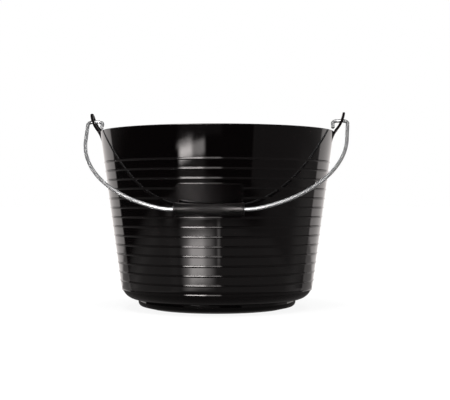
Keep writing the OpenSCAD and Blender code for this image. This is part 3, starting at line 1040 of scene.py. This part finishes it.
# A narrow dark strip that hides the patches from the base: its azimuths in degrees, reach,
# heights and brightness
STRIP_TURNS = range(-42, 7)
STRIP_REACH = 1.0
STRIP_HEIGHTS = (-0.102, -0.066)
STRIP = 0.12


def soft_box(value, low, high, soft):
    """1 between low and high, falling smoothly to 0 over a soft edge centred on each."""
    def rise(distance):
        share = min(1.0, max(0.0, distance / soft + 0.5))
        return share * share * (3 - 2 * share)
    return rise(value - low) * rise(high - value)


def glow_at(azimuth, z):
    """Brightness of the surround at an azimuth in degrees and a height."""
    return sum(brightness * soft_box(azimuth, *turn, soft_turn) * soft_box(z, *heights, soft_z)
               for name, turn, heights, soft_turn, soft_z, brightness in SURROUND_PARTS)


def make_glow(name, profile, glow_of, turns=range(-180, 181)):
    """A curved screen that only reflections see: a profile of (reach, height), turned."""
    material, add = new_material(name)
    glow = add("ShaderNodeAttribute", attribute_name="glow")
    light = add("ShaderNodeEmission",
                {"Color": (*linear(STUDIO_WARM), 1.0), "Strength": glow.outputs["Fac"]})
    add("ShaderNodeOutputMaterial", {0: light})
    material.cycles.emission_sampling = "NONE"
    points, glows = [], []
    for turn in turns:
        t = radians(turn)
        for reach, z in profile:
            points.append((reach * sin(t), -reach * cos(t), z))
            glows.append(glow_of(turn, z))
    rows = len(profile)
    faces = [(i * rows + j, (i + 1) * rows + j, (i + 1) * rows + j + 1, i * rows + j + 1)
             for i in range(len(turns) - 1) for j in range(rows - 1)]
    screen = stage_object(name, points, faces, material)
    screen.data.attributes.new("glow", "FLOAT", "POINT").data.foreach_set("value", glows)
    for rays in ("camera", "diffuse", "transmission", "shadow"):
        setattr(screen, "visible_" + rays, False)


def make_surround():
    """What the glossy plastic mirrors: a dark studio with a few soft patches of light."""
    low, high = SURROUND_LEVELS[0][0], SURROUND_LEVELS[-1][1]
    wall = [(SURROUND_REACH, z) for level in SURROUND_LEVELS for z in spaced(*level)[:-1]]
    wall.append((SURROUND_REACH, high))
    make_glow("studio_surround", [(0.0, low)] + wall + [(0.0, high)], glow_at)
    make_glow("floor_shade", [(0.0, FLOOR_SHADE_Z), (FLOOR_SHADE_R, FLOOR_SHADE_Z)],
              lambda turn, z: FLOOR_SHADE)
    make_glow("dark_strip", [(STRIP_REACH, z) for z in STRIP_HEIGHTS],
              lambda turn, z: STRIP, STRIP_TURNS)


def make_lamps(studio):
    """Soft square lamps that shine at the bucket, the last one on its wire alone."""
    for name, place, width, power in (
            ("key_lamp", (-0.3, -0.5, 2.6), 1.0, studio.key_power),
            ("fill_lamp", (0.5, -0.4, 2.6), 1.0, studio.fill_power),
            ("wire_lamp", (0.1, -2.0, 0.8), 2.0, studio.wire_power)):
        light = bpy.data.lights.new(name, "AREA")
        light.size = width
        light.energy = power
        lamp = new_object(name, light)
        lamp.location = place
        aim = LAMP_AIM - lamp.location
        lamp.rotation_euler = aim.to_track_quat("-Z", "Y").to_euler()
        lamp.visible_glossy = False
    # The wire's sheen is a reflection and nothing else
    wire_lamp = bpy.data.objects["wire_lamp"]
    wire_lamp.visible_glossy = True
    wire_lamp.visible_diffuse = False
    lit = bpy.data.collections.new("lit_by_wire_lamp")
    lit.objects.link(bpy.data.objects["bail_wire"])
    wire_lamp.light_linking.receiver_collection = lit


def make_camera(studio):
    """The camera, level and at the photograph's distance, height and framing."""
    lens = bpy.data.cameras.new("camera")
    lens.sensor_width = 36.0
    lens.lens = studio.focal_length
    lens.shift_x = studio.shift_x
    lens.shift_y = studio.shift_y
    camera = new_object("camera", lens)
    turn = studio.camera_azimuth
    camera.location = (studio.camera_distance * sin(turn),
                       -studio.camera_distance * cos(turn), studio.camera_height)
    camera.rotation_euler = (QUARTER, 0, turn)
    bpy.context.scene.camera = camera


# --- Operators -------------------------------------------------------------------------

def build(make, finish, body):
    """Make one group of pieces in its finish, for the frame's body and node of one name.

    A material is named for the function that makes it, and is made on first use.
    """
    settings = bpy.context.scene.feed_bucket
    name = finish.__name__
    material = bpy.data.materials.get(name) or finish(name, settings)
    for piece in make(settings, material):
        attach(piece, body)
        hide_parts(body)
    return {"FINISHED"}


class FEEDBUCKET_OT_shell(bpy.types.Operator):
    """Make the moulded shell with its rings, rim and stepped base"""
    bl_idname = "feed_bucket.shell"
    bl_label = "Make shell"

    def execute(self, context):
        return build(make_shell, moulded_black_polypropylene, "bucket")


class FEEDBUCKET_OT_plate(bpy.types.Operator):
    """Make the bare label plate on the front of the shell"""
    bl_idname = "feed_bucket.plate"
    bl_label = "Make label plate"

    def execute(self, context):
        return build(make_plate, satin_black_polypropylene, "bucket")


class FEEDBUCKET_OT_ears(bpy.types.Operator):
    """Make the two ears that carry the bail"""
    bl_idname = "feed_bucket.ears"
    bl_label = "Make ears"

    def execute(self, context):
        return build(make_ears, moulded_black_polypropylene, "bucket")


class FEEDBUCKET_OT_bail(bpy.types.Operator):
    """Make the bail from one length of bent wire"""
    bl_idname = "feed_bucket.bail"
    bl_label = "Make bail"

    def execute(self, context):
        return build(make_bail, galvanised_drawn_steel_wire, "bail")


class FEEDBUCKET_OT_grip(bpy.types.Operator):
    """Make the waisted grip on the wire"""
    bl_idname = "feed_bucket.grip"
    bl_label = "Make grip"

    def execute(self, context):
        return build(make_grip, moulded_charcoal_polyethylene, "grip")


class FEEDBUCKET_OT_stage(bpy.types.Operator):
    """Make the camera, the floor, the lamps and the screens"""
    bl_idname = "feed_bucket.stage"
    bl_label = "Make stage"

    def execute(self, context):
        studio = context.scene.feed_bucket.studio
        context.scene.view_settings.view_transform = "Standard"
        make_camera(studio)
        make_world(studio)
        make_floor()
        make_surround()
        make_lamps(studio)
        return {"FINISHED"}


class FEEDBUCKET_PT_panel(bpy.types.Panel):
    """Sizes, colours and buttons of the feed bucket"""
    bl_label = "Feed bucket"
    bl_space_type = "VIEW_3D"
    bl_region_type = "UI"
    bl_category = "Feed bucket"

    def draw(self, context):
        settings = context.scene.feed_bucket
        for group in ("shell", "plate", "ears", "bail", "grip", "finish", "studio"):
            box = self.layout.box()
            box.label(text=group.capitalize())
            sizes = getattr(settings, group)
            for name in sizes.__annotations__:
                box.prop(sizes, name)
        for operator in OPERATORS:
            self.layout.operator(operator.bl_idname)


SETTINGS = (
    FeedBucketShellSettings, FeedBucketPlateSettings, FeedBucketEarSettings,
    FeedBucketBailSettings, FeedBucketGripSettings, FeedBucketFinishSettings,
    FeedBucketStudioSettings, FeedBucketSettings,
)
OPERATORS = (
    FEEDBUCKET_OT_shell, FEEDBUCKET_OT_plate, FEEDBUCKET_OT_ears, FEEDBUCKET_OT_bail,
    FEEDBUCKET_OT_grip, FEEDBUCKET_OT_stage,
)
CLASSES = SETTINGS + OPERATORS + (FEEDBUCKET_PT_panel,)


def register():
    """Register the classes and hang the settings on the scene."""
    for each in CLASSES:
        bpy.utils.register_class(each)
    bpy.types.Scene.feed_bucket = PointerProperty(type=FeedBucketSettings)


def unregister():
    """Take the settings and the classes away again."""
    del bpy.types.Scene.feed_bucket
    for each in reversed(CLASSES):
        bpy.utils.unregister_class(each)


def main():
    """Make every piece and the stage."""
    register()
    bpy.ops.feed_bucket.shell()
    bpy.ops.feed_bucket.plate()
    bpy.ops.feed_bucket.ears()
    bpy.ops.feed_bucket.bail()
    bpy.ops.feed_bucket.grip()
    bpy.ops.feed_bucket.stage()


if __name__ == "__main__":
    main()
